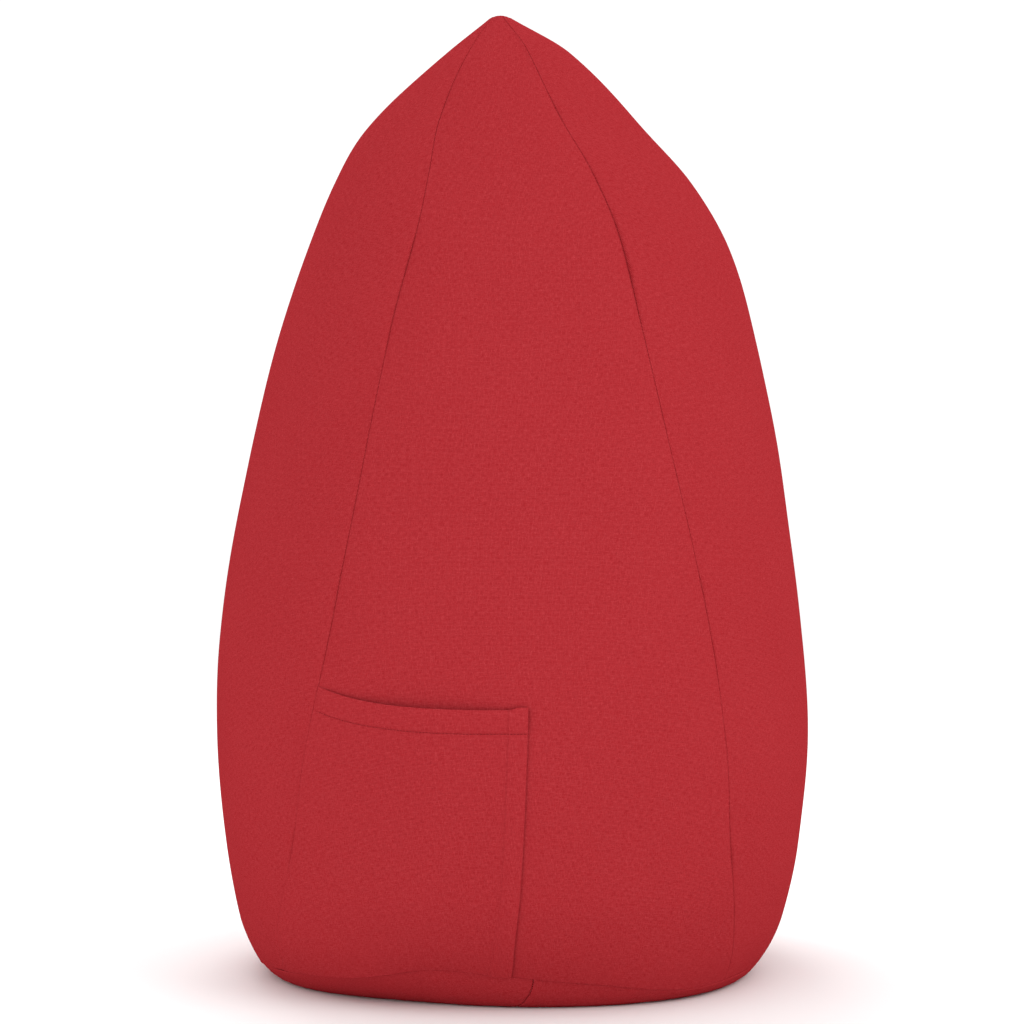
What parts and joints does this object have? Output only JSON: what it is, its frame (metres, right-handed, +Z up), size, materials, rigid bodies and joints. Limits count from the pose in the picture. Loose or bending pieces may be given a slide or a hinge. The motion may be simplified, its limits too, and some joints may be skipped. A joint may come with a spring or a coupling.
{
  "type": "bean bag chair",
  "caption": "Tall high-backed bean bag chair with a red woven cover of shaped panels, a patch pocket on the back, a base zip and a liner filled with foam beads.",
  "frame": {"origin": "middle of the footprint, on the floor under the bag", "axes": "+Z is up, -Y is the back of the chair with the pocket, +Y is the seat side, +X is the right as seen from the back"},
  "size_m": [0.661, 0.7368, 1.05],
  "materials": {
    "cover_cloth": "matte plain-woven cloth with slubs",
    "seam_binding": "matte woven tape",
    "liner_cloth": "thin non-woven cloth",
    "foam_beads": "expanded polystyrene beads",
    "zip_tape": "woven tape",
    "zip_coil": "moulded nylon coil",
    "zip_metal": "dull plated"
  },
  "bodies": {
    "bag": {"base_front_seam_binding": "seam_binding", "base_panel_left": "cover_cloth", "base_panel_right": "cover_cloth", "base_rear_seam_binding": "seam_binding", "bead_fill": "foam_beads", "left_side_panel": "cover_cloth", "liner_base_panel": "liner_cloth", "liner_left_side_panel": "liner_cloth", "liner_peak_gather": "liner_cloth", "liner_rear_panel": "liner_cloth", "liner_right_side_panel": "liner_cloth", "liner_seat_panel": "liner_cloth", "peak_gather": "cover_cloth", "pocket_panel": "cover_cloth", "rear_left_seam_binding": "seam_binding", "rear_panel": "cover_cloth", "rear_right_seam_binding": "seam_binding", "right_side_panel": "cover_cloth", "rim_seam_binding": "seam_binding", "seat_left_seam_binding": "seam_binding", "seat_panel": "cover_cloth", "seat_right_seam_binding": "seam_binding", "zip_coil_left": "zip_coil", "zip_coil_right": "zip_coil", "zip_garage": "cover_cloth", "zip_stop_front": "zip_metal", "zip_stop_rear": "zip_metal", "zip_tape_left": "zip_tape", "zip_tape_right": "zip_tape"},
    "slider": {"zip_slider": "zip_metal"}
  },
  "joints": [
    {"name": "zip_slider_travel", "type": "slide", "parent": "bag", "child": "slider", "axis": [0, -1, 0], "range_m": [0, 0.372]}
  ]
}
